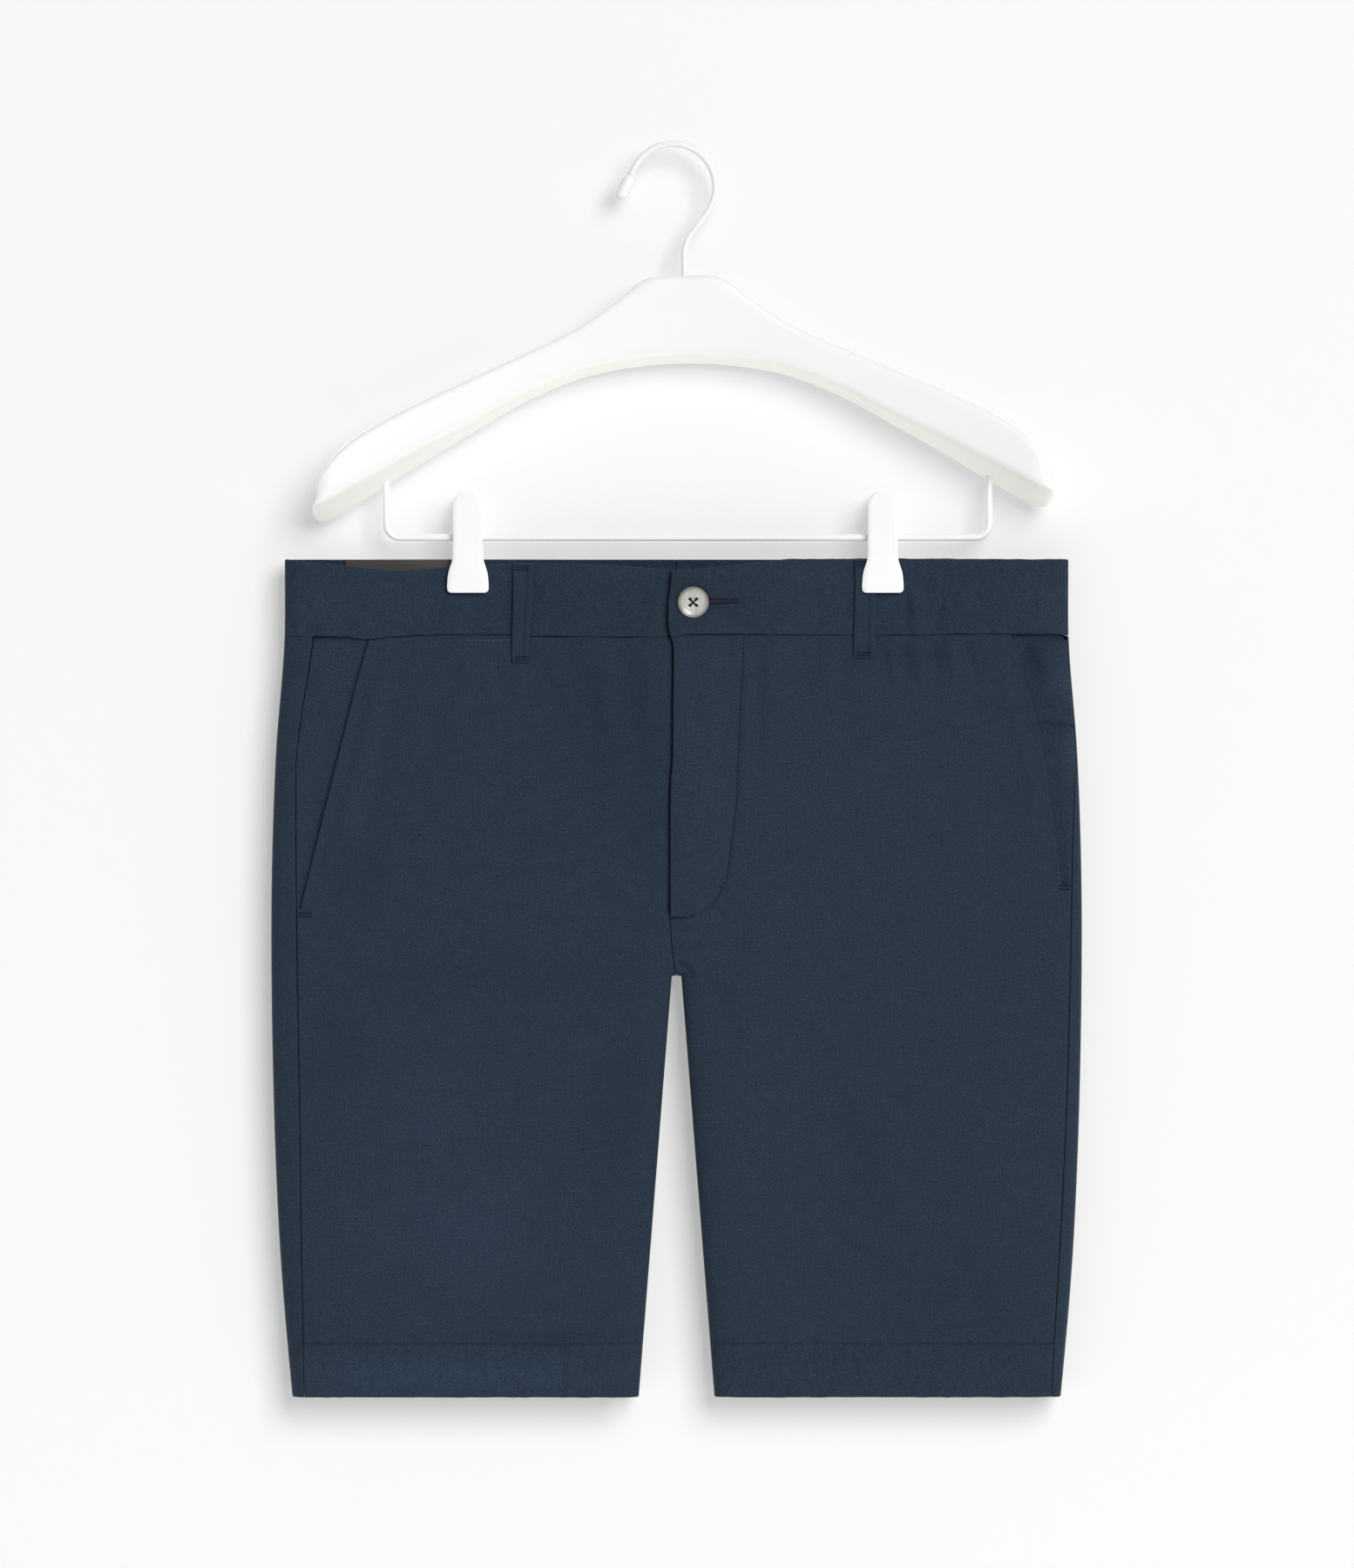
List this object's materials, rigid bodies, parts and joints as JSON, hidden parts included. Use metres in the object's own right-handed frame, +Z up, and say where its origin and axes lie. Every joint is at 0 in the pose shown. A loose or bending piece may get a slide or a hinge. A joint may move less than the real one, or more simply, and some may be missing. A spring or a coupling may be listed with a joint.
{
  "type": "bermuda shorts on a clip hanger",
  "caption": "Flat-front bermuda shorts in navy cloth, clipped by the waistband to a wide white hanger with a wire hook and trouser bar.",
  "frame": {"origin": "inside the crown of the hanger's hook, where the rail or peg carries it", "axes": "+Z up, -Y the front of the shorts, +X the wearer's left"},
  "size_m": [0.4651, 0.0406, 0.7207],
  "materials": {
    "navy_cloth": "matt plain-weave cotton and linen with faint slubs",
    "inside_patch": "smooth woven patch, dull",
    "horn_button": "polished grey horn-like resin with a brownish edge",
    "white_wood": "satin white lacquer",
    "white_wire": "white coated wire",
    "white_clip": "smooth white moulded plastic"
  },
  "bodies": {
    "root": {"front_right": "navy_cloth", "front_left": "navy_cloth", "back_right": "navy_cloth", "back_left": "navy_cloth", "pocket_facing_right": "navy_cloth", "pocket_facing_left": "navy_cloth", "waistband_right": "navy_cloth", "waistband_left": "navy_cloth", "fly_shield": "navy_cloth", "belt_loop_front_right": "navy_cloth", "belt_loop_front_left": "navy_cloth", "belt_loop_back_right": "navy_cloth", "belt_loop_back_left": "navy_cloth", "belt_loop_back_centre": "navy_cloth", "inside_patch": "inside_patch", "button": "horn_button", "hanger_body": "white_wood", "hook": "white_wire", "hook_tip": "white_wire", "trouser_bar": "white_wire", "clip_right_front_jaw": "white_clip", "clip_right_back_jaw": "white_clip", "clip_right_sleeve": "white_clip", "clip_left_front_jaw": "white_clip", "clip_left_back_jaw": "white_clip", "clip_left_sleeve": "white_clip"}
  },
  "joints": []
}
